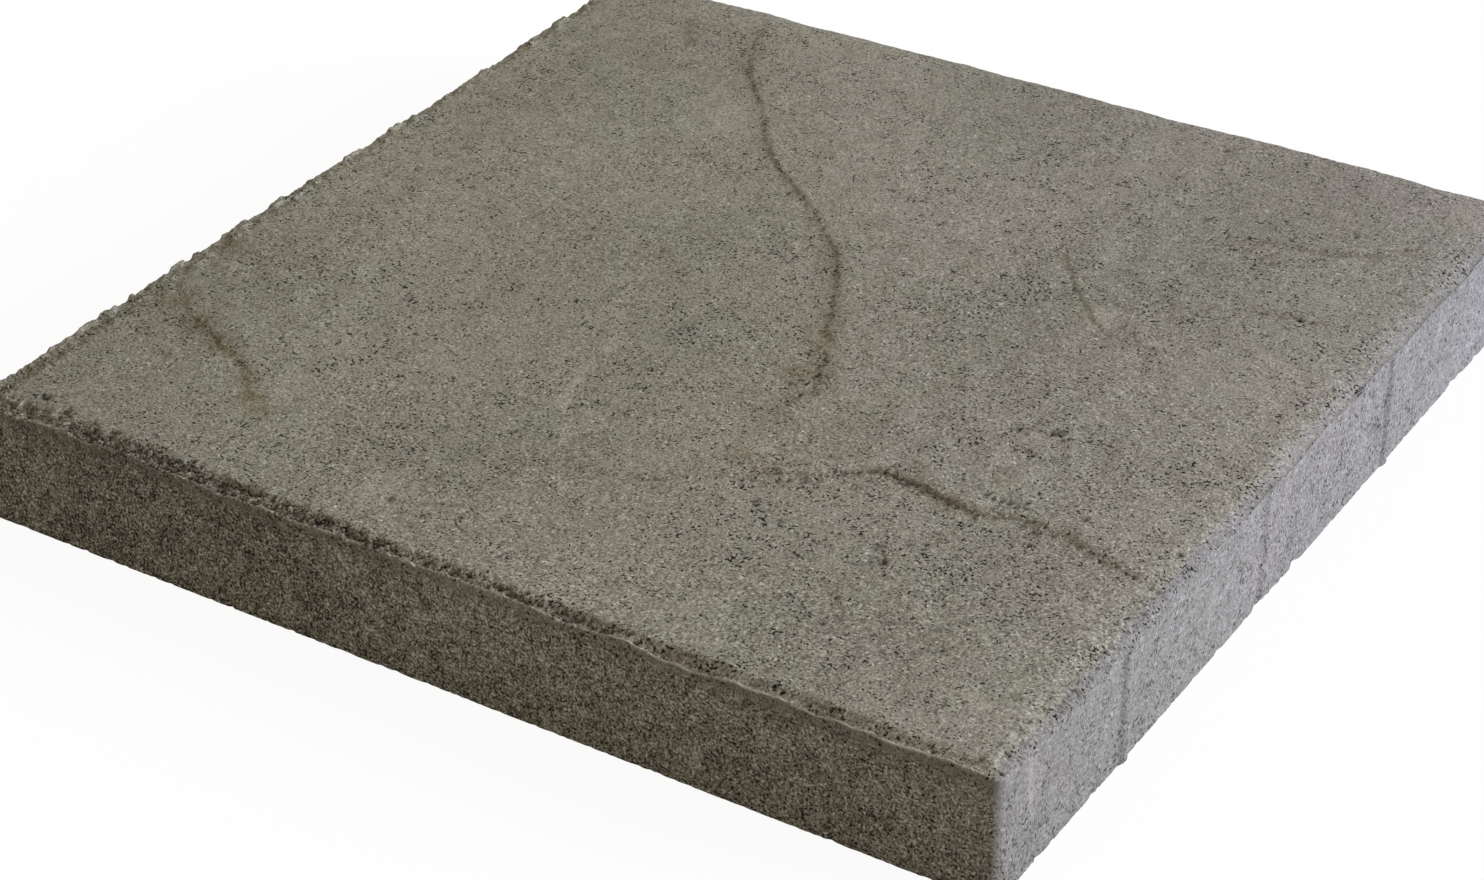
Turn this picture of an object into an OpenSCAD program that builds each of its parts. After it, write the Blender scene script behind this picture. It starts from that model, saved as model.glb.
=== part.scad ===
// Concrete paving slab, cast in one piece: a flat underside, plain sides with
// upright spacer ribs on one of them, and a riven top face with low ledges.

/* [Slab] */
// Length from the plain side to the ribbed one, without the spacer ribs
slab_l = 400; // [250:5:600]
// Width along the ribbed side
slab_w = 400; // [250:5:600]
// Thickness at the highest point of the riven face
slab_t = 50; // [30:1:100]
// Radius of the four upright corners
corner_r = 4; // [2:0.5:12]

/* [Rim] */
// How far the worn rim reaches in from the sides
rim_w = 6.5; // [4:0.5:12]
// How far the rim falls to the arris of the plain sides
rim_drop = 2; // [1:0.25:6]
// How far the rim falls to the arris of the ribbed side
ribbed_drop = 3.25; // [1:0.25:8]
// How far the arris waves up and down
arris_wave = 0.6; // [0:0.1:1]
// Distance between two waves of the arris
arris_wave_len = 46; // [20:1:90]

/* [Riven face] */
// Height of the long ledge that crosses the face
long_ledge_h = 1; // [0:0.1:5]
// Height of the cross ledge that runs out to the ribbed side
cross_ledge_h = 1.8; // [0:0.1:5]
// Height of the short ledge by the left corner
corner_ledge_h = 1.1; // [0:0.1:5]
// Height of the small ledge in the middle of the raised part
inner_ledge_h = 0.5; // [0:0.1:3]
// Height of the soft slopes on the low part
slope_h = 0.7; // [0:0.1:3]
// Plan width of a ledge, from foot to crest
ledge_run = 2; // [1:0.25:4]
// Plan width of a soft slope
slope_run = 6; // [4:0.5:20]
// How far behind its crest a ledge falls back by half
ledge_reach = 150; // [40:5:300]
// Height of the broad waves of the face, trough to crest
swell_h = 1.2; // [0:0.1:4]
// Length of the longest of the broad waves
swell_len = 260; // [120:10:400]

/* [Spacer ribs] */
// Width of a rib where it leaves the side
rib_w = 7; // [4:0.5:12]
// How far a rib stands out from the side
rib_proud = 1; // [0.4:0.1:3]
// Distance from the front corner to the middle of the first rib
rib_first = 81.5; // [30:0.5:120]
// Distance from one rib to the next
rib_pitch = 100.5; // [40:0.5:150]
// Least distance from a rib's middle to the far corner
rib_clear = 20; // [15:1:60]

/* [Fineness] */
// Cells of the riven face between the rims, along each side
cells = 56; // [24:2:60]
// Rows of cells across the rim
rim_rows = 4; // [2:1:5]

/* [Hidden] */

concrete = "#7e7a6e";
half_l = slab_l / 2;
half_w = slab_w / 2;
body_mid = -rib_proud / 2;            // the body's middle, so that its ribs are counted in too
rib_r = (pow(rib_w / 2, 2) + pow(rib_proud, 2)) / (2 * rib_proud);
rib_count = 1 + floor((slab_w - rib_first - rib_clear) / rib_pitch);
overcut = rim_w / 2;                  // the riven block passes the body by this much
draw_in = 7 * ledge_run;              // cells within this of a ledge close up to it
draw_power = 0.85;                    // how tightly they close up

// How worn the rim is all round, as [degrees from the middle of the ribbed side, share of
// its width]: widest at the left corner, at 225, and tightest towards the front one, at 315.
rim_wear = [[0, 1.4], [40, 1.4], [50, 1.2], [90, 0.8], [180, 0.9], [220, 1.5], [255, 1.3],
            [272, 0.9], [308, 0.75], [313, 0.9], [322, 1.4], [360, 1.4]];

// How far the rim falls all round, as [degrees, fall].
rim_falls = [[0, ribbed_drop], [38, ribbed_drop], [48, 0.6 * rim_drop], [60, 0.2 * rim_drop],
             [75, 0.5 * rim_drop], [100, 0.7 * rim_drop], [135, 0.9 * rim_drop], [150, 1.2 * rim_drop],
             [215, 1.2 * rim_drop], [235, 0.9 * rim_drop], [285, 0.9 * rim_drop], [296, 1.3 * rim_drop],
             [303, 0.7 * rim_drop], [308.5, 1.5 * rim_drop], [312.5, 0.3 * rim_drop],
             [318, 1.4 * ribbed_drop], [336, 1.3 * ribbed_drop], [348, ribbed_drop], [360, ribbed_drop]];

// The broad waves, as [share of the longest one's length, heading, phase, share of the height].
swells = [[1, 20, 40, 0.36], [0.66, 78, 200, 0.28], [0.47, 141, 95, 0.2], [0.34, 112, 310, 0.16]];

// Courses of the ledges, as [place along, place across], in half lengths of the slab.
long_course = [[-0.48, 0.19], [-0.3, 0.2], [-0.22, 0.21], [-0.1, 0.155], [0.05, 0.085], [0.2, -0.005],
               [0.34, -0.155], [0.45, -0.295], [0.6, -0.41], [0.75, -0.535], [0.9, -0.6], [1.1, -0.63]];
cross_course = [[-0.2, -0.71], [-0.06, -0.655], [0.1, -0.615], [0.22, -0.545], [0.32, -0.5],
                [0.44, -0.4], [0.62, -0.42], [0.74, -0.395], [0.88, -0.435], [1.1, -0.465]];
corner_course = [[-1.1, -0.46], [-0.95, -0.515], [-0.85, -0.59], [-0.7, -0.66], [-0.57, -0.73],
                 [-0.5, -0.82]];
inner_course = [[0.3, 0.5], [0.42, 0.325], [0.56, 0.19], [0.7, 0.2], [0.8, 0.26]];
slope_course = [[-0.68, 0.05], [-0.62, 0], [-0.53, -0.1], [-0.42, -0.15], [-0.28, -0.17],
                [-0.05, -0.3], [0.2, -0.44]];

// How much of its height each ledge has along its course, as [place along, share].
long_shares = [[-0.45, 0], [-0.25, 1], [0.15, 1], [0.25, 0.7], [0.7, 0.7], [0.9, 0.5], [1, 0]];
cross_shares = [[-0.2, 0], [0, 0.2], [0.28, 0.25], [0.4, 1], [0.62, 1], [0.75, 0.7], [1, 0.4]];
corner_shares = [[-1, 0], [-0.9, 0.5], [-0.8, 1], [-0.7, 0.8], [-0.55, 0]];
inner_shares = [[0.3, 0], [0.42, 1], [0.6, 0.8], [0.8, 0]];
slope_shares = [[-0.66, 0], [-0.55, 1], [-0.3, 0.8], [0.2, 0]];

// A ledge: the axis that it runs along (0 is X, 1 is Y), its course, the shares of its height,
// its height, the side that is higher (1 or -1) and its plan width.
ledges = [
    [1, smooth(long_course), long_shares, long_ledge_h, 1, ledge_run],
    [0, smooth(cross_course), cross_shares, cross_ledge_h, 1, ledge_run],
    [0, smooth(corner_course), corner_shares, corner_ledge_h, 1, ledge_run],
    [0, smooth(inner_course), inner_shares, inner_ledge_h, 1, ledge_run],
    [1, smooth(slope_course), slope_shares, slope_h, -1, slope_run]
];

// The slope of a course at one of its points.
function turn(c, i) =
    let (a = max(i - 1, 0), b = min(i + 1, len(c) - 1))
    (c[b][1] - c[a][1]) / (c[b][0] - c[a][0]);

// A place between two points of a course, on a cubic through both; q runs from 0 to 1.
function between(c, i, q) =
    let (step = c[i + 1][0] - c[i][0])
    [c[i][0] + q * step,
     (2 * pow(q, 3) - 3 * q * q + 1) * c[i][1] + (3 * q * q - 2 * pow(q, 3)) * c[i + 1][1]
     + step * ((pow(q, 3) - 2 * q * q + q) * turn(c, i) + (pow(q, 3) - q * q) * turn(c, i + 1))];

function smooth(c) =
    concat([for (i = [0 : len(c) - 2], q = [0 : 0.25 : 0.75]) between(c, i, q)], [c[len(c) - 1]]);

function ease(q) = q <= 0 ? 0 : q >= 1 ? 1 : q * q * (3 - 2 * q);

// A ledge's height at a place along it, and how far across it a point is, positive on the high side.
function ledge_up(l, p) = l[3] * lookup(along(l, p), l[2]);
function along(l, p) = l[0] == 0 ? p.x / half_l : p.y / half_w;
function course_at(l, p) = lookup(along(l, p), l[1]) * (l[0] == 0 ? half_w : half_l);
function past(l, p) = l[4] * ((l[0] == 0 ? p.y : p.x) - course_at(l, p));

function rise(l, p) =
    let (e = past(l, p))
    ledge_up(l, p) * ease(e / l[5] + 0.5) / (1 + pow(max(e, 0) / ledge_reach, 2));

function swell(p) =
    swell_h / 2 * sum([for (s = swells)
        s[3] * sin(360 * (p.x * cos(s[1]) + p.y * sin(s[1])) / (s[0] * swell_len) + s[2])]);
function sum(v, i = 0) = i < len(v) ? v[i] + sum(v, i + 1) : 0;

// How far inside the body's outline a point is.
function inside(p) =
    let (qx = abs(p.x - body_mid) - (half_l - corner_r), qy = abs(p.y) - (half_w - corner_r))
    corner_r - norm([max(qx, 0), max(qy, 0)]) - min(max(qx, qy), 0);

function rim_fall(p) =
    let (heading = (atan2(p.y / half_w, p.x / half_l) + 360) % 360,
         q = 1 - inside(p) / (rim_w * lookup(heading, rim_wear)),
         fall = lookup(heading, rim_falls),
         wave = arris_wave * min(1, fall / rim_drop) * sin(360 * (p.x - p.y) / arris_wave_len))
    q <= 0 ? 0 : (fall + wave) * (q < 1 ? q * q : 2 * q - 1);

function relief(p) =
    swell(p) + max(rise(ledges[0], p), rise(ledges[1], p))
    + sum([for (i = [2 : len(ledges) - 1]) rise(ledges[i], p)]) - rim_fall(p);

// Draws a point of the grid towards a ledge, so that the ledge has narrow cells of its own.
function drawn(l, p) =
    let (e = past(l, p), reach = draw_in * min(1, lookup(along(l, p), l[2]) * 2),
         shift = abs(e) < reach && l[5] == ledge_run ? l[4] * e * (pow(abs(e) / reach, draw_power) - 1) : 0)
    l[0] == 0 ? [p.x, p.y + shift] : [p.x + shift, p.y];
function drawn_to_all(p, i = 0) = i < len(ledges) ? drawn_to_all(drawn(ledges[i], p), i + 1) : p;

// Grid lines across the slab: one outside, some close together over each rim, and the rest even.
function grid_lines(low, high) =
    let (rim = 1.25 * rim_w, step = rim / rim_rows, a = low + rim, b = high - rim)
    concat([low - overcut],
           [for (k = [0.5 : rim_rows - 0.5]) low + k * step],
           [for (k = [0 : cells]) a + (b - a) * k / cells],
           [for (k = [rim_rows - 0.5 : -1 : 0.5]) high - k * step],
           [high + overcut]);

// A block whose top is the riven face. It passes the slab's outline and underside all round.
module riven_block() {
    xs = grid_lines(body_mid - half_l, body_mid + half_l);
    ys = grid_lines(-half_w, half_w);
    nx = len(xs);
    ny = len(ys);
    plan = [for (y = ys, x = xs) drawn_to_all([x, y])];
    high = [for (p = plan) relief(p)];
    peak = max(high);
    face = [for (i = [0 : len(plan) - 1]) [plan[i].x, plan[i].y, slab_t - peak + high[i]]];
    edge = concat([for (i = [0 : nx - 1]) i], [for (j = [1 : ny - 1]) j * nx + nx - 1],
                  [for (i = [nx - 2 : -1 : 0]) (ny - 1) * nx + i], [for (j = [ny - 2 : -1 : 1]) j * nx]);
    n = len(edge);
    foot = [for (k = edge) [face[k].x, face[k].y, -overcut]];
    base = len(face);
    // Each cell is split along the diagonal whose ends are nearer in height, which follows the ledges.
    top_faces = [for (j = [0 : ny - 2], i = [0 : nx - 2])
        let (a = j * nx + i, b = a + 1, c = a + nx, d = c + 1,
             other = abs(high[a] - high[d]) < abs(high[b] - high[c]))
        each other ? [[a, c, d], [a, d, b]] : [[a, c, b], [c, d, b]]];
    side_faces = [for (k = [0 : n - 1]) [edge[k], edge[(k + 1) % n], base + (k + 1) % n, base + k]];
    foot_faces = [for (k = [0 : n - 1]) [base + n, base + k, base + (k + 1) % n]];
    polyhedron(concat(face, foot, [[0, 0, -overcut]]), concat(top_faces, side_faces, foot_faces));
}

// The slab seen from above: a rounded rectangle with the spacer ribs along one side.
module outline() {
    translate([body_mid, 0]) {
        square([slab_l - 2 * corner_r, slab_w], center = true);
        square([slab_l, slab_w - 2 * corner_r], center = true);
        for (x = [-1, 1], y = [-1, 1])
            translate([x * (half_l - corner_r), y * (half_w - corner_r)]) circle(corner_r, $fn = 48);
        for (i = [0 : rib_count - 1])
            translate([half_l + rib_proud - rib_r, rib_first + i * rib_pitch - half_w])
                circle(rib_r, $fn = 96);
    }
}

module slab() {
    color(concrete)
        intersection() {
            linear_extrude(slab_t + overcut) outline();
            riven_block();
        }
}

slab();
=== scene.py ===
"""A riven concrete paving slab on a plain white floor, seen from above its front corner.

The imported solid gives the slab's size and place. This script gives it its fine relief and its finish.
"""
import math

import bmesh
import bpy
import numpy as np
from mathutils import Matrix, Vector, noise


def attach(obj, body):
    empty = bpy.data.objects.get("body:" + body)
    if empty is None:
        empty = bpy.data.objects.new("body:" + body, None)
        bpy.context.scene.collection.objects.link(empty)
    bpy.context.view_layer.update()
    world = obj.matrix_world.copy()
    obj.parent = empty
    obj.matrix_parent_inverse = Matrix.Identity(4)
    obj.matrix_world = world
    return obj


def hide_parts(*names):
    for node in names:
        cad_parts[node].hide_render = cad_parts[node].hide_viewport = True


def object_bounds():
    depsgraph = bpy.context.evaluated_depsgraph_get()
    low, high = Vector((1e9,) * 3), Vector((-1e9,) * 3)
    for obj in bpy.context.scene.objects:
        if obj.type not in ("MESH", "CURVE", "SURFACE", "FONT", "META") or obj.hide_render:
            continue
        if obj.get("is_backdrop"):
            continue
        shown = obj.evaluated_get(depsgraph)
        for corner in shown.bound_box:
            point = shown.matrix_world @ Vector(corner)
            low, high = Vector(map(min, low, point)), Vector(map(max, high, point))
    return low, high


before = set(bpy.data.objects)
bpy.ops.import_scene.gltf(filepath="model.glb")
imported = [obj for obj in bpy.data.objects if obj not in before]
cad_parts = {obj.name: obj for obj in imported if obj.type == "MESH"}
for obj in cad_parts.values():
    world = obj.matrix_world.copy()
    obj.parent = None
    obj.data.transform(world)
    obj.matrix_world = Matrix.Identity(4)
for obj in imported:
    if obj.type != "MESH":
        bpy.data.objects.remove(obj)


# ---- The slab ---------------------------------------------------------------------------------
# One casting of pressed concrete. Its top took the shape of a riven stone, with ledges and soft
# slopes, its rim crumbled as it left the mould, and its sides were drawn up plain, with three
# upright spacer ribs on one of them.

MM = 0.001        # sizes of the slab are in millimetres, and turn to metres as its mesh is filled
cad_low, cad_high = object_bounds()
LENGTH, WIDTH, THICK = (cad_high - cad_low) / MM

# Spacer ribs on the +X side: width, how far they stand out, the first one's distance from the
# front corner, the distance between two, and their number. Each is a part of a cylinder.
RIB_WIDE, RIB_PROUD, RIB_FIRST, RIB_PITCH, RIBS = 7, 1, 81.5, 100.5, 3
RIB_ROUND = ((RIB_WIDE / 2) ** 2 + RIB_PROUD ** 2) / (2 * RIB_PROUD)

# The body without its ribs, and its round upright corners.
HALF_L, HALF_W = (LENGTH - RIB_PROUD) / 2, WIDTH / 2
MID_X = -RIB_PROUD / 2
CORNER = 4
CORNER_ZONE = 12        # the square at each corner whose cells are drawn in to the round one

# The rim and its waving arris, the ledges and soft slopes, the broad waves, the creases, and how
# far the face leans down towards the plain left side.
RIM_WIDE, RIM_DROP, RIBBED_DROP = 6.5, 2, 3.25
ARRIS_WAVE, ARRIS_WAVE_LONG = 0.6, 46
LEDGE_RUN, SLOPE_RUN, LEDGE_REACH = 2, 6, 150
SWELL, SWELL_LONG = 1.2, 260
CREASE_DEEP, CREASE_WIDE = 0.35, 2.5
LEAN, LEAN_WIDE = 1.2, 60

# How the rim changes all round, as (degrees, value), by degrees from the middle of the ribbed
# side. The right corner is at 45, the back one at 135, the left one, where the rim is roughest, at
# 225, and the front one at 315. First the share of its width.
RIM_WEAR = [(0, 1.4), (40, 1.4), (50, 1.2), (90, 0.8), (180, 0.9), (220, 1.5), (240, 1.2),
            (255, 1.1), (272, 0.8), (308, 0.75), (313, 0.9), (322, 1.4), (360, 1.4)]
# How far it falls.
RIM_FALLS = [(0, RIBBED_DROP), (38, RIBBED_DROP), (48, 0.6 * RIM_DROP), (60, 0.2 * RIM_DROP),
             (75, 0.5 * RIM_DROP), (100, 0.7 * RIM_DROP), (135, 0.9 * RIM_DROP),
             (150, 0.6 * RIM_DROP), (215, 0.6 * RIM_DROP), (235, 0.9 * RIM_DROP),
             (285, 0.9 * RIM_DROP), (296, 1.3 * RIM_DROP), (303, 0.7 * RIM_DROP),
             (308.5, 1.5 * RIM_DROP), (312.5, 0.3 * RIM_DROP), (318, 1.4 * RIBBED_DROP),
             (336, 1.3 * RIBBED_DROP), (348, RIBBED_DROP), (360, RIBBED_DROP)]
# How far it has crumbled.
RIM_CRUMBLE = [(0, 0.15), (40, 0.2), (50, 0.15), (125, 0.2), (140, 0.4), (215, 0.45), (227, 1),
               (255, 1), (278, 0.8), (288, 0.35), (300, 0.15), (309, 0.15), (312, 0.3), (327, 0.3),
               (337, 0.15), (360, 0.15)]
# Where it is the plain left side's, how much it waves, and how hollow or how round its section is.
LEFT_SIDE = [(0, 0), (133, 0), (140, 1), (218, 1), (224, 0), (360, 0)]
RIM_WAVES = [(0, 1), (48, 1), (60, 0.35), (135, 0.35), (150, 1), (360, 1)]
RIM_HOLLOW = [(0, 0), (272, 0), (288, 1), (312, 1), (316, 0), (360, 0)]
RIM_ROUND = [(0, 0), (315, 0), (318, 1), (334, 1), (345, 0), (360, 0)]
# How much burr stands on its arris.
RIM_BURR = [(0, 0), (130, 0.1), (225, 0.2), (250, 0.4), (272, 0.6), (290, 1), (312, 1), (317, 0),
            (360, 0)]

# The broad waves: share of the longest one's length, heading, phase, share of the height.
SWELLS = [(1, 20, 40, 0.36), (0.66, 78, 200, 0.28), (0.47, 141, 95, 0.2), (0.34, 112, 310, 0.16)]

# The ledges and the one soft slope, with their courses in half sizes of the slab. A course runs
# along Y or X, and high says on which side of it the face is higher. The other lists change along
# the course: shares is the share of the height, blunt how many times as wide as run the step has
# worn, dirt how much has gathered at its foot, and dirt_wide how many millimetres wide.
LEDGES = {
    "long": dict(
        runs="y", height=1, high=1, run=LEDGE_RUN,
        course=[(-0.48, 0.19), (-0.3, 0.2), (-0.22, 0.21), (-0.1, 0.155), (0.05, 0.085), (0.2, -0.005),
                (0.34, -0.155), (0.45, -0.295), (0.6, -0.41), (0.75, -0.535), (0.9, -0.6), (1.1, -0.63)],
        shares=[(-0.45, 0), (-0.25, 1), (0.15, 1), (0.25, 0.7), (0.7, 0.7), (0.9, 0.5), (1, 0)],
        blunt=[(-0.2, 2.8), (0.05, 2.6), (0.13, 1.9), (0.55, 2), (0.65, 2.4)],
        dirt=[(0, 0.62)], dirt_wide=[(0, 7), (0.4, 4.6)]),
    "cross": dict(
        runs="x", height=1.8, high=1, run=LEDGE_RUN,
        course=[(-0.2, -0.71), (-0.06, -0.655), (0.1, -0.615), (0.22, -0.545), (0.32, -0.5),
                (0.44, -0.4), (0.62, -0.42), (0.74, -0.395), (0.88, -0.435), (1.1, -0.465)],
        shares=[(-0.2, 0), (0, 0.2), (0.28, 0.25), (0.4, 1), (0.62, 1), (0.75, 0.7), (1, 0.4)],
        blunt=[(0.63, 1.9), (0.75, 2.4), (0.85, 3.2), (1, 3.4)],
        dirt=[(0.6, 0.42), (0.8, 0.32)], dirt_wide=[(0.5, 4), (0.7, 2.5)]),
    "corner": dict(
        runs="x", height=1.1, high=1, run=LEDGE_RUN,
        course=[(-1.1, -0.46), (-0.95, -0.515), (-0.85, -0.59), (-0.7, -0.66), (-0.57, -0.73),
                (-0.5, -0.82)],
        shares=[(-1, 0), (-0.9, 0.5), (-0.8, 1), (-0.7, 0.8), (-0.55, 0)], blunt=[(0, 2)],
        dirt=[(0, 0.7)], dirt_wide=[(-0.9, 2.5), (-0.7, 3.5)]),
    "inner": dict(
        runs="x", height=0.5, high=1, run=LEDGE_RUN,
        course=[(0.3, 0.5), (0.42, 0.325), (0.56, 0.19), (0.7, 0.2), (0.8, 0.26)],
        shares=[(0.3, 0), (0.42, 1), (0.6, 0.8), (0.8, 0)], blunt=[(0, 1.5)],
        dirt=[(0, 0.3)], dirt_wide=[(0, 2)]),
    "slope": dict(
        runs="y", height=0.7, high=-1, run=SLOPE_RUN,
        course=[(-0.68, 0.05), (-0.62, 0), (-0.53, -0.1), (-0.42, -0.15), (-0.28, -0.17),
                (-0.05, -0.3), (0.2, -0.44)],
        shares=[(-0.66, 0), (-0.55, 1), (-0.3, 0.8), (0.2, 0)], blunt=[(0, 1)],
        dirt=[(0, 0)], dirt_wide=[(0, 2)]),
}


def ease(share):
    """Goes from 0 to 1 with soft ends."""
    share = np.clip(share, 0, 1)
    return share * share * (3 - 2 * share)


def bell(off, wide):
    """1 in the middle, and falling away on both sides of it over about a width."""
    return np.exp(-(off / wide) ** 2)


def rough(points, across, shift=0.0):
    """Smooth noise from about -1 to 1, whose bumps are about so many millimetres across.

    Another shift gives another pattern.
    """
    moved = Vector((shift, 3.1, 7.7))
    return np.array([1.8 * noise.noise(Vector(p) * (2 / across) + moved) for p in points])


def layers(points, *parts):
    """The sum of some noises, each one given as (height, millimetres across, shift)."""
    return sum(height * rough(points, across, shift) for height, across, shift in parts)


def around(x, y, stops):
    """A value that changes all round the slab, from stops given as (degrees, value)."""
    return np.interp(np.degrees(np.arctan2(y / HALF_W, x / HALF_L)) % 360, *np.array(stops).T)


def smooth_course(points):
    """A dense line on a cubic through the points of a course."""
    padded = np.pad(np.array(points, float), ((1, 1), (0, 0)), mode="edge")
    slope = (padded[2:, 1] - padded[:-2, 1]) / (padded[2:, 0] - padded[:-2, 0])
    along, across = padded[1:-1].T
    places = np.linspace(along[0], along[-1], 300)
    i = np.clip(np.searchsorted(along, places) - 1, 0, len(along) - 2)
    step = along[i + 1] - along[i]
    t = (places - along[i]) / step
    line = (2 * t ** 3 - 3 * t * t + 1) * across[i] + (3 * t * t - 2 * t ** 3) * across[i + 1]
    line += step * ((t ** 3 - 2 * t * t + t) * slope[i] + (t ** 3 - t * t) * slope[i + 1])
    return places, line


for ledge in LEDGES.values():
    ledge["line"] = smooth_course(ledge["course"])


def along_ledge(ledge, key, x, y):
    """The value of a ledge's stops at the place along it that is level with a point."""
    return np.interp(y / HALF_W if ledge["runs"] == "y" else x / HALF_L, *np.array(ledge[key]).T)


def ledge_up(ledge, x, y):
    """The height of a ledge at the place along it that is level with a point."""
    return ledge["height"] * along_ledge(ledge, "shares", x, y)


def past(ledge, x, y):
    """How far a point is from a ledge, in millimetres, positive on its high side."""
    if ledge["runs"] == "y":
        return ledge["high"] * (x - np.interp(y / HALF_W, *ledge["line"]) * HALF_L)
    return ledge["high"] * (y - np.interp(x / HALF_L, *ledge["line"]) * HALF_W)


def inside(x, y):
    """How far a point is inside the body's outline."""
    over_x = np.abs(x - MID_X) - (HALF_L - CORNER)
    over_y = np.abs(y) - (HALF_W - CORNER)
    to_corner = np.hypot(np.maximum(over_x, 0), np.maximum(over_y, 0))
    return CORNER - to_corner - np.minimum(np.maximum(over_x, over_y), 0)


# The pits, as (x, y, radius, depth). These stand out: on the face, then on the crumbled rim near the
# left corner, and then along the two rims that meet at the front corner.
PITS = [(115, -123, 2.8, 1.6), (112, -125, 1.6, 1), (-40, -175, 2.2, 1.1), (128, -29, 2, 1),
        (116, -161, 1.6, 1), (30, 147, 1.7, 0.9), (-150, 12, 1.6, 0.8), (36, -28, 1.4, 0.9),
        (39, -38, 1.7, 1.1), (41, -52, 1.4, 0.9), (60, -98, 1.6, 0.8), (76, -88, 1.5, 0.9),
        (125, -74, 1.4, 1.1), (128, -75, 1.4, 1.1), (131, -75, 1.3, 1.1), (134, -75, 1.4, 1.2),
        (137, -76, 1.4, 1.1), (140, -75, 1.5, 1.2), (139, -72, 1.3, 1), (139, -65, 1.3, 1),
        (159, -70, 1.4, 1.1), (196, -103, 1.3, 1), (193, -71, 1.5, 1), (126, -30, 1.9, 1.1),
        (132, -30, 1.3, 1), (150, -91, 1.5, 0.9), (101, -114, 1.3, 1.1), (173, -88, 1, 0.7),
        (183, -63, 1.2, 0.9), (91, -76, 1.2, 0.9), (86, -82, 1.1, 0.9), (120, -163, 1.2, 0.9),
        (156, 148, 1.6, 1), (86, 185, 1.4, 0.9), (95, 134, 1.1, 0.8), (130, 145, 1.2, 0.9),
        (105, 139, 1, 0.7), (105, 159, 1, 0.7), (164, 82, 1.6, 1.1), (168, 83, 1.2, 0.9),
        (191, 99, 1, 0.8), (175, 149, 1.3, 0.8), (175, 15, 1.1, 0.8),
        (-178, -186, 3, 1.6), (-165, -190, 2.6, 1.4), (-108, -192, 1.8, 1.3), (-104, -193, 1.5, 1.1),
        (176, -198, 1.1, 0.9), (179, -199, 0.9, 0.8), (193, -176, 1.1, 0.9), (194, -174, 0.8, 0.7),
        (195, -169, 1, 0.8), (197, -163, 1, 0.8), (195, -162, 0.8, 0.8), (191, -181, 0.8, 0.7),
        (197, -196, 1.3, 1.4), (172, -198, 0.9, 0.8)]
# Small ones strewn over the whole face: their number, and how far from its middle lines.
STREWN, STREWN_REACH = 170, 190
# Swarms of small ones, as (x, y, spread, count).
SWARMS = [(116, -158, 14, 26), (118, -122, 12, 18), (128, -32, 14, 30), (95, -70, 12, 14),
          (135, -70, 12, 14), (38, -38, 5, 16), (90, -86, 6, 12), (60, -95, 7, 10), (30, 60, 18, 14),
          (40, 145, 16, 14), (-150, 20, 16, 12), (150, 80, 18, 14), (-20, -140, 18, 14),
          (-140, -120, 12, 12), (70, -140, 16, 16), (-42, -174, 8, 16), (-110, -175, 18, 14),
          (5, 100, 18, 12)]
# Those along the feet of the ledges, as (ledge, from, to, count). They lie a little in front of the
# course, by a share of a half size, and are spread about that line by so many millimetres.
FOOT_PITS = [("long", -0.3, 0.9, 70), ("long", -0.3, 0, 20), ("cross", 0.05, 0.95, 60),
             ("cross", 0.36, 0.64, 40), ("cross", 0.26, 0.44, 26), ("corner", -0.85, -0.6, 16)]
FOOT_OFF, FOOT_SPREAD = 0.005, 0.7
# Short crooked rows of them in the front side's crumbled rim, nearly all short of FRONT_END. They
# reach further in towards the left corner, as (up to x, how far in from the side).
FRONT_ROWS, FRONT_START, FRONT_END, FRONT_LAST, FRONT_SHARE = 130, -197, 75, 190, 0.96
FRONT_DEPTHS = [(-120, 9), (-40, 6), (FRONT_LAST, 4)]
ROW_PITS, ROW_STEP = 3, (0.9, 0.5)
# Single ones in the ribbed side's rim, in its half by the front corner.
RIBBED_RIM_PITS = 34

draw = np.random.default_rng(7)


def add_pit(x, y, radii, depths):
    """Adds a pit, and draws its radius and its depth between two bounds each."""
    PITS.append((x, y, draw.uniform(*radii), draw.uniform(*depths)))


for _ in range(STREWN):
    add_pit(draw.uniform(-STREWN_REACH, STREWN_REACH), draw.uniform(-STREWN_REACH, STREWN_REACH),
            (0.6, 1.3), (0.3, 0.7))
for px, py, spread, count in SWARMS:
    for _ in range(count):
        add_pit(draw.normal(px, spread), draw.normal(py, spread), (0.6, 1.5), (0.3, 0.8))
for name, start, end, count in FOOT_PITS:
    ledge = LEDGES[name]
    for along in draw.uniform(start, end, count):
        across = np.interp(along, *ledge["line"]) - ledge["high"] * FOOT_OFF
        px, py = (across, along) if ledge["runs"] == "y" else (along, across)
        add_pit(draw.normal(px * HALF_L, FOOT_SPREAD), draw.normal(py * HALF_W, FOOT_SPREAD),
                (0.5, 1.2), (0.3, 0.8))
for _ in range(FRONT_ROWS):
    end = FRONT_END if draw.random() < FRONT_SHARE else FRONT_LAST
    px = draw.uniform(FRONT_START, end)
    py = draw.uniform(1.5, next(depth for until, depth in FRONT_DEPTHS if px < until)) - HALF_W
    turn = draw.uniform(0, 6.3)
    for _ in range(ROW_PITS):
        add_pit(px, py, (0.7, 1.3), (0.6, 1.3))
        px += ROW_STEP[0] * math.cos(turn)
        py += ROW_STEP[1] * math.sin(turn)
        turn += draw.uniform(-1, 1)
for _ in range(RIBBED_RIM_PITS):
    add_pit(HALF_L - draw.uniform(2, 10), draw.uniform(-196, -90), (0.6, 1.4), (0.4, 1))

PIT_RAGGED = 0.3        # how far a pit's outline wanders, as a share of its radius


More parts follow.
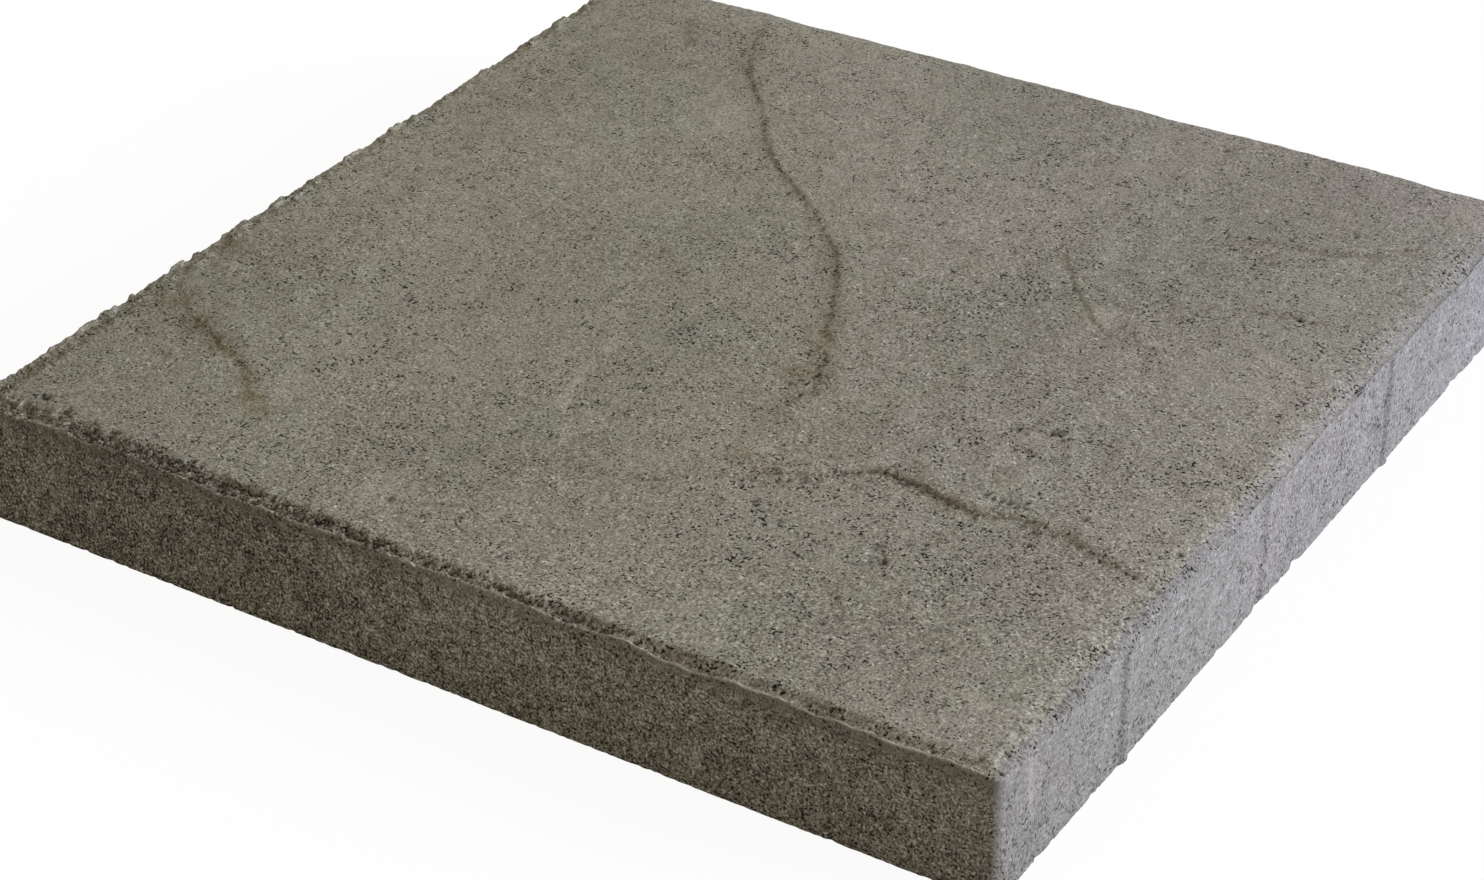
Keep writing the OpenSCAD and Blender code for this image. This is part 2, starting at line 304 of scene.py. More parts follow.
def pit_depth(x, y):
    """How deep the pits are at a point."""
    depth = np.zeros(len(x))
    for px, py, radius, deep in PITS:
        window = (1 + PIT_RAGGED) * radius
        near = np.flatnonzero((np.abs(x - px) < window) & (np.abs(y - py) < window))
        flat = np.column_stack((x[near], y[near], np.zeros(len(near))))
        reach = np.hypot(x[near] - px, y[near] - py) / radius + PIT_RAGGED * rough(flat, 1.8, 83)
        depth[near] = np.maximum(depth[near], deep * (1 - ease(reach)))
    return depth


# The top starts as an even grid. Its cells are cut finer within RIM_CUT of the sides and LEDGE_CUT
# of the ledges, and over the pits. The whole slab stays under 200,000 triangles.
CELLS, CUTS, RIM_CUT, LEDGE_CUT = 156, 3, 8, 3
bm = bmesh.new()
bmesh.ops.create_grid(bm, x_segments=CELLS, y_segments=CELLS, size=1)
bmesh.ops.scale(bm, vec=(HALF_L, HALF_W, 1), verts=bm.verts)
bmesh.ops.translate(bm, vec=(MID_X, 0, 0), verts=bm.verts)

middle_x, middle_y, _ = np.array([f.calc_center_median() for f in bm.faces]).T
finer = (inside(middle_x, middle_y) < RIM_CUT) | (pit_depth(middle_x, middle_y) > 0)
for ledge in LEDGES.values():
    if ledge["run"] == LEDGE_RUN:
        near = np.abs(past(ledge, middle_x, middle_y)) < LEDGE_CUT
        finer |= near & (ledge_up(ledge, middle_x, middle_y) > 0)
finer_faces = {f for f, is_finer in zip(bm.faces, finer) if is_finer}
cut = [e for e in bm.edges if not finer_faces.isdisjoint(e.link_faces)]
bmesh.ops.subdivide_edges(bm, edges=cut, cuts=CUTS, use_grid_fill=True)

x, y, _ = np.array([v.co for v in bm.verts]).T

# Lines of the grid close up along the ledges.
DRAW_IN, DRAW_POWER = 7, 0.6
for ledge in LEDGES.values():
    off = past(ledge, x, y)
    reach = DRAW_IN * np.minimum(1, ledge_up(ledge, x, y))
    drawn = (np.abs(off) < reach) & (ledge["run"] == LEDGE_RUN)
    closer = (np.abs(off) / np.maximum(reach, 0.01)) ** DRAW_POWER - 1
    shift = np.where(drawn, ledge["high"] * off * closer, 0)
    if ledge["runs"] == "y":
        x = x + shift
    else:
        y = y + shift

# The square corners come in to the round ones, along rays from the inner corner of their zone.
INSET = CORNER_ZONE - CORNER
ray_x = np.abs(x - MID_X) - (HALF_L - CORNER_ZONE)
ray_y = np.abs(y) - (HALF_W - CORNER_ZONE)
far = np.hypot(ray_x, ray_y) + 1e-9
to_centre = INSET * (ray_x + ray_y) / far
to_arc = to_centre + np.sqrt(np.maximum(to_centre ** 2 - 2 * INSET ** 2 + CORNER ** 2, 0))
to_square = CORNER_ZONE * far / np.maximum(np.maximum(ray_x, ray_y), 1e-9)
on_arc = CORNER_ZONE * np.minimum(ray_x, ray_y) > INSET * np.maximum(ray_x, ray_y)
on_arc &= (ray_x > 0) & (ray_y > 0)
shrink = np.where(on_arc, to_arc / to_square, 1)
x = np.where(on_arc, MID_X + np.sign(x - MID_X) * (HALF_L - CORNER_ZONE + ray_x * shrink), x)
y = np.where(on_arc, np.sign(y) * (HALF_W - CORNER_ZONE + ray_y * shrink), y)

# The ribs stand out of the ribbed side, and carry the rim out with them.
RIB_BLEND = 6
rib_places = [RIB_FIRST + k * RIB_PITCH - HALF_W for k in range(RIBS)]
for rib_y in rib_places:
    arc = np.sqrt(np.maximum(RIB_ROUND ** 2 - (y - rib_y) ** 2, 0))
    bulge = np.maximum(arc - (RIB_ROUND - RIB_PROUD), 0)
    x = x + np.where(x > 0, bulge * np.clip(1 - inside(x, y) / RIB_BLEND, 0, 1), 0)

# Heights of the face, over its mean plane. The ledges wander off their courses a little, and are
# crisper in some places than in others.
flat = np.column_stack((x, y, np.zeros(len(x))))
wander = layers(flat, (0.7, 14, 20), (0.45, 4, 30))
crispness = 0.8 + 0.3 * rough(flat, 18, 25)


def rise(ledge):
    """What a ledge adds to the face: a step on a wandering line, behind which the face falls back."""
    off = past(ledge, x, y) + wander * (ledge["run"] == LEDGE_RUN)
    step = ease(off / (ledge["run"] * along_ledge(ledge, "blunt", x, y)) + 0.5)
    return ledge_up(ledge, x, y) * crispness * step / (1 + (np.maximum(off, 0) / LEDGE_REACH) ** 2)


height = np.zeros(len(x))
for share, heading, phase, high in SWELLS:
    heading, phase = math.radians(heading), math.radians(phase)
    run = x * math.cos(heading) + y * math.sin(heading)
    height += SWELL / 2 * high * np.sin(2 * math.pi * run / (share * SWELL_LONG) + phase)
height += np.maximum(rise(LEDGES["long"]), rise(LEDGES["cross"]))
for name in ("corner", "inner", "slope"):
    height += rise(LEDGES[name])
peak = height.max()        # so far, it reaches the full thickness, and what follows goes into it

# The paste is uneven by about this much, and lies lower by as much.
UNEVEN = 0.2
height -= UNEVEN + layers(flat, (0.15, 34, 0), (0.12, 13, 5), (0.07, 6, 9))
height -= LEAN * (1 - ease((x - MID_X + HALF_L) / LEAN_WIDE))

# Faint creases of the face, as crooked lines.
CREASES = [[(118, 122), (130, 127), (154, 131), (172, 142), (178, 150)],
           [(144, 78), (164, 82), (173, 84)],
           [(-152, 175), (-147, 166), (-139, 155)]]


def near_lines(lines, wide, x, y):
    """How near a point is to the nearest of some crooked lines: 1 on it, and less further off."""
    near = np.zeros(len(x))
    for line in lines:
        for (x0, y0), (x1, y1) in zip(line, line[1:]):
            t = ((x - x0) * (x1 - x0) + (y - y0) * (y1 - y0)) / math.dist((x0, y0), (x1, y1)) ** 2
            t = np.clip(t, 0, 1)
            near = np.maximum(near, bell(np.hypot(x - x0 - t * (x1 - x0), y - y0 - t * (y1 - y0)), wide))
    return near


height -= CREASE_DEEP * near_lines(CREASES, CREASE_WIDE, x, y)

# The rim falls away to the arris, which waves. rim_share is 0 at its inner edge and 1 at the arris.
# Crumbling makes that inner edge ragged, and adds to the wave.
crumble = around(x, y, RIM_CRUMBLE)
hollow = around(x, y, RIM_HOLLOW)
ragged = 1 + crumble * layers(flat, (0.25, 24, 40), (0.3, 7, 50), (0.15, 3, 55))
rim_share = 1 - inside(x, y) / (RIM_WIDE * around(x, y, RIM_WEAR) * np.maximum(ragged, 0.3))
wave = np.sin(2 * math.pi * (x - y) / ARRIS_WAVE_LONG)
wave += 1.2 * crumble * rough(flat, 36, 70) + 0.9 * hollow * rough(flat, 15, 72)
fall = around(x, y, RIM_FALLS)
drop = fall + ARRIS_WAVE * around(x, y, RIM_WAVES) * np.minimum(1, fall / RIM_DROP) * wave

# Its section is rolled in most places, and hollow, round or broken off at once in some.
in_rim = ease(rim_share / 0.15)
rolled = np.clip(rim_share, 0, 1) ** 2
section = rolled + hollow * (1.3 * ease(rim_share / 0.6) - rolled)
section += 0.7 * around(x, y, RIM_ROUND) * (1 - np.sqrt(1 - rolled) - rolled)
broken = 0.35 * in_rim + 0.65 * ease(1.2 * rim_share)
section += crumble * (broken - section) + 2 * np.maximum(rim_share - 1, 0)
height -= drop * section

# Crumbs stand up in it where it has crumbled, and larger ones along the plain left side.
LEFT_CRUMB = 1.3
height += in_rim * crumble * layers(flat, (0.28, 5, 60), (0.28, 2.2, 70), (0.14, 1.3, 80))
left_crumbs = LEFT_CRUMB * ease(1.8 * rough(flat, 11, 81) - 0.1) + 0.3 * rough(flat, 4, 82)
height += in_rim * around(x, y, LEFT_SIDE) * left_crumbs
height -= pit_depth(x, y)

# The burr, where the mould's edge left a thin lip of paste along the arris. It comes and goes.
BURR_HIGH, BURR_WIDE = 0.9, 1.4


def burr_at(x, y):
    """How much burr there is along the arris that is level with a point."""
    flat = np.column_stack((x, y, np.zeros(len(x))))
    return around(x, y, RIM_BURR) * np.clip(0.75 + layers(flat, (0.5, 20, 90), (0.4, 4, 91)), 0, 1)


height += BURR_HIGH * burr_at(x, y) * (1 - ease(inside(x, y) / BURR_WIDE))
z = np.minimum(height + THICK - peak, THICK)
for v, place in zip(bm.verts, zip(x, y, z)):
    v.co = place
top_count = len(bm.verts)

# The sides are drawn down from the arris in rows, closer together at both ends.
ROWS = [0.02, 0.06, 0.13, 0.25, 0.4, 0.58, 0.76, 0.92, 1]
rim_edges = [e for e in bm.edges if e.is_boundary]
done = 0
for share in ROWS:
    grown = bmesh.ops.extrude_edge_only(bm, edges=rim_edges)["geom"]
    rim_edges = [g for g in grown if isinstance(g, bmesh.types.BMEdge) and g.is_boundary]
    row = {v for e in rim_edges for v in e.verts}
    bmesh.ops.scale(bm, vec=(1, 1, (1 - share) / (1 - done)), verts=list(row))
    done = share

# The underside closes the slab. It has a narrow strip all round, so that what marks the sides ends
# at the foot.
FOOT_STRIP = 0.975
grown = bmesh.ops.extrude_edge_only(bm, edges=rim_edges)["geom"]
inner_edges = [g for g in grown if isinstance(g, bmesh.types.BMEdge) and g.is_boundary]
inner_ring = list({v for e in inner_edges for v in e.verts})
bmesh.ops.scale(bm, vec=(FOOT_STRIP, FOOT_STRIP, 1), verts=inner_ring)
underside = {g for g in grown if isinstance(g, bmesh.types.BMFace)}
underside |= set(bmesh.ops.contextual_create(bm, geom=inner_edges)["faces"])
bmesh.ops.recalc_face_normals(bm, faces=bm.faces)

# Roughness of the sides: they only go inwards, and the top's edge goes with them. x, y and z are
# views of the points, and follow them. out points away from the side or corner at a place.
NEAR_TOP, NEAR_FOOT, DENT_REACH = 8, 3, 4
points = np.array([v.co for v in bm.verts])
x, y, z = points.T
core_x = np.clip(x, MID_X + CORNER - HALF_L, MID_X + HALF_L - CORNER)
core_y = np.clip(y, CORNER - HALF_W, HALF_W - CORNER)
out = np.column_stack((x - core_x, y - core_y))
out /= np.maximum(np.linalg.norm(out, axis=1), 1e-9)[:, None]
streak = points * (1, 1, 0.3)        # noise on these is drawn out upwards, as a mould draws it
near_top = np.clip(1 - (THICK - z) / NEAR_TOP, 0, 1)
near_foot = np.clip(1 - z / NEAR_FOOT, 0, 1)
crumble = around(x, y, RIM_CRUMBLE)
dent = 0.05 * (1 + rough(streak, 9, 11))
dent += crumble * near_top * (0.3 + layers(points, (0.3, 5, 13), (0.25, 2, 15)))
dent += 0.3 * near_foot * rough(points, 6, 14) ** 2

# Chips at the foot of the ribbed side, as (y, half width, depth).
FOOT_CHIPS = [(-19, 4, 1.7), (9, 2.5, 1.5), (-68, 2, 0.3), (-50, 2, 0.3), (146, 3, 0.9), (153, 2, 0.6)]
for at, half, deep in FOOT_CHIPS:
    dent += np.where(out[:, 0] > 0.9, deep * bell(y - at, half) * near_foot ** 0.5, 0)
weight = np.clip(1 - inside(x, y) / DENT_REACH, 0, 1)
points[:, :2] -= out * (np.maximum(dent, 0) * weight)[:, None]

# What the finish needs to know of a place. First which side or which part of the rim it is on, and
# how blotchy its dirt is.
is_side = np.arange(len(points)) >= top_count
is_top = ~is_side
facing_front = np.clip(-out[:, 1], 0, 1) * is_side
facing_ribs = ease(out[:, 0] * 2 - 0.4) * is_side
facing_back = np.clip(out[:, 1], 0, 1) * is_side * (1 - facing_ribs)
facing_left = np.clip(-out[:, 0], 0, 1)
above_ribs = ease(out[:, 0] * 1.5) * is_top
rim_share = 1 - inside(x, y) / (RIM_WIDE * around(x, y, RIM_WEAR))
ribbed_rim = ease(rim_share * 1.2) * above_ribs
crisp_rim = ease((y + 60) / 30) * above_ribs        # the far part of it, which has kept its arris
worn = ease(rim_share / 0.3) * around(x, y, RIM_CRUMBLE) * (1 - 0.8 * facing_left) * is_top
flat = points * (1, 1, 0)
blotch = np.clip(0.6 + layers(flat, (0.6, 9, 95), (0.4, 3, 96)), 0, 1.3)

# Dirt in front of the ledges, less of it behind them, and in the creases.
stain = np.zeros(len(points))
for ledge in LEDGES.values():
    wide = along_ledge(ledge, "dirt_wide", x, y)
    off = past(ledge, x, y) + 0.8 * rough(flat, 5, 98)
    foot = bell(off, np.where(off < 0, wide, 0.6 * wide)) * ledge_up(ledge, x, y) / ledge["height"]
    stain = np.maximum(stain, along_ledge(ledge, "dirt", x, y) * foot)
stain = np.maximum(stain, 0.45 * near_lines(CREASES, CREASE_WIDE, x, y)) * (0.4 + 0.6 * blotch)

# Brown patches and pale ones, as (x, y, radius, strength), and crumbs of pale paste near the ribs.
BROWN = [(-111, -154, 5, 1.1), (-118, -149, 5.5, 1.15), (-126, -141, 5, 1), (-150, -129, 6, 0.9),
         (-166, -122, 7, 0.8), (-182, -112, 8, 0.7), (34, -40, 8, 0.8), (45, -95, 5, 0.8),
         (56, -99, 5, 0.8), (-192, -72, 9, 0.5)]
PALE = [(103, 47, 6, 0.7), (190, 185, 14, 0.6), (176, -60, 8, 0.4), (38, -203, 3, 1.2),
        (-80, 40, 20, 0.25), (-46, -172, 8, 0.7), (48, -88, 4, 0.6), (-95, 110, 14, 0.3),
        (195, -173, 1.5, 1), (194, -167, 1.5, 1), (192, -180, 1.5, 1), (172, -170, 2.2, 1.2),
        (143, -177, 2, 1.1)]
PALE_CRUMBS = 16
for _ in range(PALE_CRUMBS):
    PALE.append((HALF_L - draw.uniform(3, 10), draw.uniform(-194, -110), draw.uniform(0.6, 1.2), 0.9))


def spots(places):
    """How strong the patches are at every point."""
    strong = np.zeros(len(points))
    for px, py, radius, strength in places:
        strong = np.maximum(strong, strength * bell(np.hypot(x - px, y - py), radius))
    return strong


# A painted highlight in a line down the soft slope, whose face turns to the lamp, and a pale scratch near
# the ribbed side.
slope = LEDGES["slope"]
SCRATCH = [(141, 71), (153, 61), (164, 54), (188, 39)]
LINE_WIDE = 1.3
slope_highlight_and_scratch = 1.2 * bell(past(slope, x, y) + 1, LINE_WIDE) * ledge_up(slope, x, y) * blotch
slope_highlight_and_scratch = np.maximum(slope_highlight_and_scratch, 0.7 * near_lines([SCRATCH], LINE_WIDE, x, y) * blotch)

# Pale upright smears on the ribbed side, as (y, half width, lowest, highest).
SMEARS = [(-180, 2, 20, 45), (126, 2, 24, 44), (25, 1.6, 4, 18), (-60, 1.2, 8, 26)]
SMEAR_FADE = 6
smears = np.zeros(len(points))
for at, half, lowest, highest in SMEARS:
    level = ease((z - lowest) / SMEAR_FADE) * ease((highest - z) / SMEAR_FADE)
    smears = np.maximum(smears, bell(y + rough(streak, 12, 97) - at, half) * level)
smears *= facing_ribs

# Painted shade in cracks, which come and go, at the foot of the cross ledge and in the creases.
cross = LEDGES["cross"]
painted_crack_shade = bell(past(cross, x, y) + 0.6, 0.9) * np.clip(1.3 * rough(flat, 4, 99) + 0.7, 0, 1)
painted_crack_shade *= ledge_up(cross, x, y) / cross["height"]
painted_crack_shade += 0.75 * near_lines(CREASES, 1, x, y) * np.clip(rough(flat, 5, 94) + 0.5, 0, 1)

# Slow changes over the whole slab, a smoother patch by the front corner, painted shade on the ribs'
# flanks that turn from the lamp and a painted highlight on those that turn to it, and the calm band below
# the front arris.
PATCH_X, PATCH_Y, PATCH_WIDE = 172, -186, 26
to_left = np.clip(-x / LENGTH - 0.1, 0, 0.4)
to_right = ease((x + 0.6 * y) / (1.5 * LENGTH) + 0.4) ** 2
to_front = np.clip(x / HALF_L, 0, 1)
nearness = (x - y) / LENGTH
smooth_patch = bell(np.hypot(x - PATCH_X, y - PATCH_Y), PATCH_WIDE)
flanks = np.zeros(len(points))
for rib_y in rib_places:
    flanks += 0.12 * bell(y - rib_y + 2, 1.2) * blotch - 0.08 * bell(y - rib_y - 2, 1)
below_arris = facing_front * bell(THICK - z - 6, 3)

# How strong the grain is, in all, in its pores and in its lumps, on the sides and on the top. On the
# front and left sides, which lie in shade, the grain and lumps are strong as painted shade in their pores
# and relief, and they are calmer on the ribbed and back sides, which the lamp lights.
side_grain = 1.95 + facing_front * (0.12 - 0.3 * to_front) - 1.12 * facing_ribs
side_grain -= 0.7 * facing_back + 1.1 * below_arris
top_grain = 0.96 + 0.32 * nearness + 0.5 * worn - 0.35 * ribbed_rim - 0.35 * smooth_patch
side_lumps = 1 - 0.95 * facing_ribs - 0.6 * facing_back
side_lumps -= 0.75 * below_arris + 0.35 * facing_front * to_front
top_specks = 1.12 + 0.3 * nearness - 0.4 * smooth_patch

# How much darker it is: the front side at its foot, at its left end and below its arris. The top is
# lighter to the right, and at its left rim, where it is painted light against the shade of the rim's
# fall. The ribbed side is painted lighter as the lamp lights it, more so towards the back, with painted
# shade and a painted highlight on its ribs' flanks, and the crisp rim has a painted thin shadow along its
# arris and painted light on the band inside it.
darker = 0.04 * to_left + 0.08 * below_arris
darker += facing_front * (0.08 * near_foot + 0.04 * np.clip(1 - z / 20, 0, 1))
darker += facing_front * (0.18 * to_left - 0.03 * bell(x, 60))
darker -= is_top * (0.07 * to_right + 0.05 * ease((x - 140) / 45) + 0.035 * ease(0.5 + y / WIDTH))
# Painted light on the left rim, against the shade of its fall; the smooth patch is lighter too.
darker -= is_top * (0.03 * smooth_patch + 0.07 * ease(rim_share / 0.6) * around(x, y, LEFT_SIDE))
# The ribbed side painted lighter as the lamp lights it, more so towards the back, with painted shade and
# highlight on its ribs' flanks.
darker -= facing_ribs * (0.175 + 0.11 * y / HALF_W - flanks)
# A painted thin shadow along the crisp rim's arris, and painted light on the rim band inside it.
darker += crisp_rim * (0.25 * bell(inside(x, y), 0.6) - 0.06 * ease(rim_share * 1.5))

# All of it, by the names that the finish reads. stain is brown dirt, and burr the pale paste of the burr,
# patches and smears, with a painted highlight down the soft slope. The lilac mark is a painted cast of
# the cool lamp on the ribbed side, the rim above it and the top's right part, olive is the greener paste
# of the top's right part, and the pit mark is painted shade in the pits and cracks.
brown = np.maximum(np.maximum(stain, 0.22 * worn), spots(BROWN) * (0.5 + 0.5 * np.clip(blotch, 0, 1)))
arris = np.clip(1.2 - inside(x, y), 0, 1)
pale = np.maximum(arris * burr_at(x, y), 0.4 * np.maximum(slope_highlight_and_scratch, spots(PALE)))
# The painted lilac cast of the cool lamp on the top: a little everywhere, more on the rim above the ribs
# and towards the right.
top_painted_lilac = 0.06 + ribbed_rim * (0.36 + 0.26 * ease(-y / 60)) + 0.5 * to_right
values = {
    "grain": np.where(is_side, side_grain, top_grain),
    "specks": np.where(is_side, 1 - 0.2 * facing_ribs, top_specks),
    "lumpy": np.where(is_side, side_lumps, 0.3 * worn),
    "shade": darker,
    "worn": worn,
    "stain": brown * is_top,
    "pit": np.clip(pit_depth(x, y) / 0.8 + 0.6 * painted_crack_shade, 0, 1) * is_top,
    "burr": pale * is_top + 0.5 * smears,
    "painted_lilac_light": np.where(is_side, facing_ribs * (0.8 + 0.13 * y / HALF_W), top_painted_lilac),
    "olive": to_right * is_top,
}
for name, numbers in values.items():
    layer = bm.verts.layers.float.new(name)
    for v, value in zip(bm.verts, numbers):
        v[layer] = value
for v, place in zip(bm.verts, points):
    v.co = Vector(place) * MM
for f in bm.faces:
    f.smooth = f not in underside
for f in underside:
    for e in f.edges:
        e.smooth = False
mesh = bpy.data.meshes.new("riven_slab")
bm.to_mesh(mesh)
bm.free()
slab = bpy.data.objects.new("riven_slab", mesh)
bpy.context.scene.collection.objects.link(slab)


def linear(code):
    """An sRGB hex colour as linear red, green, blue and alpha."""
    parts = [int(code[i:i + 2], 16) / 255 for i in (1, 3, 5)]
    return [c / 12.92 if c <= 0.04045 else ((c + 0.055) / 1.055) ** 2.4 for c in parts] + [1]


def add(kind, inputs=None, output=None, **settings):
    """Adds a node to the tree, with its settings, and gives one of its outputs.

    Each input is named or numbered, and has a value or a link.
    """
    new = tree.nodes.new("ShaderNode" + kind)
    for name, value in settings.items():
        setattr(new, name, value)
    for key, value in (inputs or {}).items():
        socket = new.inputs[key] if isinstance(key, int) else next(
            s for s in new.inputs if s.enabled and s.name == key)
        if isinstance(value, bpy.types.NodeSocket):
            tree.links.new(value, socket)
        else:
            socket.default_value = value
    return new.outputs[output] if output else next(s for s in new.outputs if s.enabled)


# Pressed concrete: grey-olive cement paste full of sand, matt and gritty, with pale and dark grains
# and open pores. It is browner along the ledges, where dirt has gathered.
concrete = bpy.data.materials.new("pressed_concrete")
concrete.use_nodes = True
tree = concrete.node_tree
tree.nodes.clear()
place = add("VectorMath", {0: add("TexCoord", output="Object"), "Scale": 1 / MM}, operation="SCALE")
marks = {name: add("Attribute", attribute_name=name, output="Fac") for name in values}


def noise_at(across, detail=2):
    """Noise of the concrete whose features are about so many millimetres across, about a middle of 0."""
    texture = add("TexNoise", {"Vector": place, "Scale": 1 / across, "Detail": detail, "Roughness": 0.6})
    return add("Math", {0: texture, 1: 0.5}, operation="SUBTRACT")


def total(*terms):
    """The sum of some (value, weight) pairs."""
    result = 0.0
    for value, weight in terms:
        result = add("Math", {0: value, 1: weight, 2: result}, operation="MULTIPLY_ADD")
    return result


# Sand of about a millimetre, and its clumps, patches and clouds. The real sand is finer still in
# part, down to a tenth of that, which would not show, so all of it is drawn at this size.
grit, clump, patch, cloud = noise_at(0.9, 1), noise_at(3, 1), noise_at(12, 1), noise_at(75, 0)

# Open pores, ragged, in drifts, and more of them where the concrete is worn or lumpy, and single pale
# grains. Each is picked out of a noise with a sharp edge. The pores are painted dark, as painted shade in
# them, and the bump sinks them too.
drifts = total((noise_at(1.15, 1), 1), (noise_at(8, 1), 0.3), (noise_at(45, 0), 0.12),
               (marks["worn"], -0.04), (marks["lumpy"], -0.015))
pores = add("MapRange", {"Value": drifts, "From Min": -0.145, "From Max": -0.17})
sands = add("MapRange", {"Value": noise_at(1.4, 1), "From Min": 0.145, "From Max": 0.17})

# Tone: how light the concrete is at a place, about a middle of a half.
sandy = total((grit, 1), (clump, 0.1), (sands, 0.22))
lumps = total((clump, 0.35), (patch, 0.2))
pored = add("Math", {0: pores, 1: marks["specks"]}, operation="MULTIPLY")
tone = total((sandy, marks["grain"]), (pored, -0.5), (lumps, marks["lumpy"]), (clump, 0.2), (patch, 0.12),
             (cloud, 0.14), (marks["worn"], -0.13), (marks["shade"], -1.0), (1.0, 0.5))

# Its colours, from the painted shade of the pores to the palest sand.
STOPS = [(0.0, "#221e17"), (0.25, "#5a5549"), (0.5, "#7e7a6d"), (0.75, "#9b9789"), (1.0, "#c2beb2")]
ramp = tree.nodes.new("ShaderNodeValToRGB")
for element, (position, code) in zip(ramp.color_ramp.elements, (STOPS[0], STOPS[-1])):
    element.position = position
    element.color = linear(code)
for position, code in STOPS[1:-1]:
    ramp.color_ramp.elements.new(position).color = linear(code)
tree.links.new(tone, ramp.inputs["Fac"])


def tint(under, over, amount, share, way="MULTIPLY"):
    """Lays a hex colour or a colour socket over another, by that share where amount is 1."""
    factor = add("Math", {0: amount, 1: share}, operation="MULTIPLY")
    over = linear(over) if isinstance(over, str) else over
    return add("Mix", {"Factor": factor, "A": under, "B": over}, data_type="RGBA", blend_type=way)


# The paste is a little redder in some places and greener in others. Over it come brown dirt, painted
# shade in the pits and cracks, pale paste with a painted highlight down the soft slope, and a painted
# lilac cast of the cool lamp.
redder = total((noise_at(16), 0.6), (noise_at(60, 0), 0.6), (marks["olive"], -0.17), (1.0, 0.05))
redness = add("MapRange", {"Value": redder, "From Min": -0.24, "From Max": 0.24})
hues = tint(linear("#fbfffb"), "#fffcfc", redness, 1, "MIX")
colour = tint(ramp.outputs["Color"], hues, 1.0, 1)
colour = tint(colour, "#cabb9f", marks["stain"], 0.95)
colour = tint(colour, "#5c5547", marks["pit"], 0.75)
colour = tint(colour, "#c4bda9", marks["burr"], 0.75, "MIX")
colour = tint(colour, "#e7e3ff", marks["painted_lilac_light"], 0.9)

BUMP_DEEP = 0.4 * MM
relief = total((grit, 0.5), (clump, 0.8), (pores, -0.8))
bump = add("Bump", {"Height": relief, "Strength": 1, "Distance": BUMP_DEEP})
surface = add("BsdfPrincipled", {"Base Color": colour, "Roughness": 0.92, "Specular IOR Level": 0.25,
                                 "Normal": bump})
tree.links.new(surface, tree.nodes.new("ShaderNodeOutputMaterial").inputs["Surface"])
mesh.materials.append(concrete)

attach(slab, "root")
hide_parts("slab")


# ---- The floor --------------------------------------------------------------------------------
# A wide, plain white floor, a hair under the slab, and open beneath it so that the underside can be
# seen. It is no part of the slab. Its sizes are in metres.

FLOOR_REACH, FLOOR_DROP, OPEN_HALF = 8, 0.05 * MM, (HALF_L - 1) * MM
floor_mesh = bpy.data.meshes.new("floor")
bm = bmesh.new()
bmesh.ops.create_grid(bm, x_segments=1, y_segments=1, size=FLOOR_REACH)
middle = list(bm.faces)
bmesh.ops.inset_individual(bm, faces=middle, thickness=FLOOR_REACH - OPEN_HALF, use_even_offset=True)
bmesh.ops.delete(bm, geom=middle, context="FACES")
bmesh.ops.translate(bm, vec=(0, 0, cad_low.z - FLOOR_DROP), verts=bm.verts)
bm.to_mesh(floor_mesh)
bm.free()
floor = bpy.data.objects.new("floor", floor_mesh)
bpy.context.scene.collection.objects.link(floor)
floor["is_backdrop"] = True

# White to the eye, with a faint shadow of the slab, and mid grey in what it throws back on the slab.
# It can be seen through from below.
white_floor = bpy.data.materials.new("white_floor")
white_floor.use_nodes = True
tree = white_floor.node_tree
tree.nodes.clear()
SHADOW_SHARE = 0.07
seen = add("LightPath", output="Is Camera Ray")
glow = add("Emission", {"Color": (1, 1, 1, 1), "Strength": 1})
shadowed = add("BsdfDiffuse", {"Color": (0.95, 0.95, 0.95, 1)})
grey = add("BsdfDiffuse", {"Color": (0.25, 0.25, 0.25, 1)})
white = add("MixShader", {0: SHADOW_SHARE, 1: glow, 2: shadowed})
upper = add("MixShader", {0: seen, 1: grey, 2: white})
from_below = add("NewGeometry", output="Backfacing")
tree.links.new(add("MixShader", {0: from_below, 1: upper, 2: add("BsdfTransparent")}),
               tree.nodes.new("ShaderNodeOutputMaterial").inputs["Surface"])
floor_mesh.materials.append(white_floor)


# ---- The light --------------------------------------------------------------------------------
# A plain, soft, slightly warm room, and one large, cooler lamp low over the ribbed side.

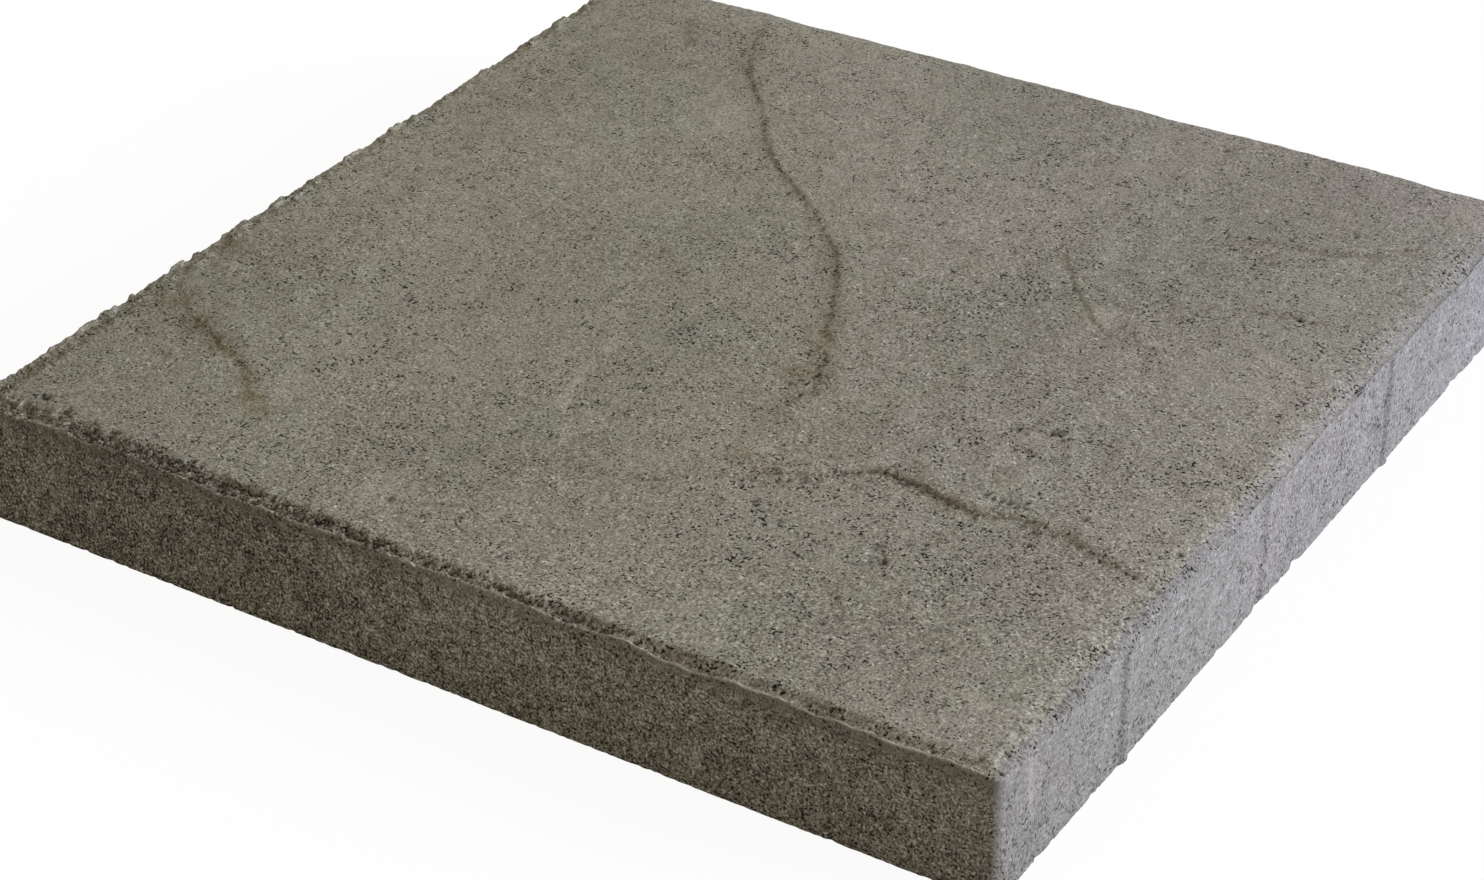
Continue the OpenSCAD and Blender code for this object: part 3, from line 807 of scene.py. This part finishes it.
world = bpy.data.worlds.new("room")
bpy.context.scene.world = world
world.use_nodes = True
tree = world.node_tree
tree.nodes.clear()
seen = add("LightPath", output="Is Camera Ray")
room = add("Background", {"Color": (1, 0.922, 0.828, 1), "Strength": 0.64})
backdrop = add("Background", {"Color": (1, 1, 1, 1), "Strength": 1})
tree.links.new(add("MixShader", {0: seen, 1: room, 2: backdrop}),
               tree.nodes.new("ShaderNodeOutputWorld").inputs["Surface"])

LAMP_TURN, LAMP_RISE, LAMP_WIDE = math.radians(25), math.radians(19), math.radians(25)
lamp_data = bpy.data.lights.new("lamp", "SUN")
lamp_data.energy = 1.44 * math.pi
lamp_data.color = (0.77, 0.87, 1)
lamp_data.angle = LAMP_WIDE
lamp = bpy.data.objects.new("lamp", lamp_data)
bpy.context.scene.collection.objects.link(lamp)
to_lamp = Vector((math.cos(LAMP_TURN) * math.cos(LAMP_RISE), math.sin(LAMP_TURN) * math.cos(LAMP_RISE),
                  math.sin(LAMP_RISE)))
lamp.rotation_euler = to_lamp.to_track_quat("Z", "Y").to_euler()


# ---- The camera -------------------------------------------------------------------------------
# It looks down over the front corner, close enough for the slab to pass the picture's edges. Its
# distance and target are in metres, and its lens and sensor in millimetres.

AZIMUTH, ELEVATION, ROLL = math.radians(32.76), math.radians(32.36), math.radians(-0.67)
DISTANCE = 1.22446
TARGET = Vector((-0.0013, -0.023, 0))
LENS, SENSOR = 83.02, 36
back = Vector((math.sin(AZIMUTH) * math.cos(ELEVATION), -math.cos(AZIMUTH) * math.cos(ELEVATION),
               math.sin(ELEVATION)))
right = Vector((math.cos(AZIMUTH), math.sin(AZIMUTH), 0))
turned = Matrix((right, back.cross(right), back)).transposed().to_4x4() @ Matrix.Rotation(ROLL, 4, "Z")
camera_data = bpy.data.cameras.new("camera")
camera_data.lens = LENS
camera_data.sensor_width = SENSOR
camera = bpy.data.objects.new("camera", camera_data)
bpy.context.scene.collection.objects.link(camera)
camera.matrix_world = Matrix.Translation(TARGET + back * DISTANCE) @ turned
bpy.context.scene.camera = camera
bpy.context.scene.view_settings.view_transform = "Standard"

low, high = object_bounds()
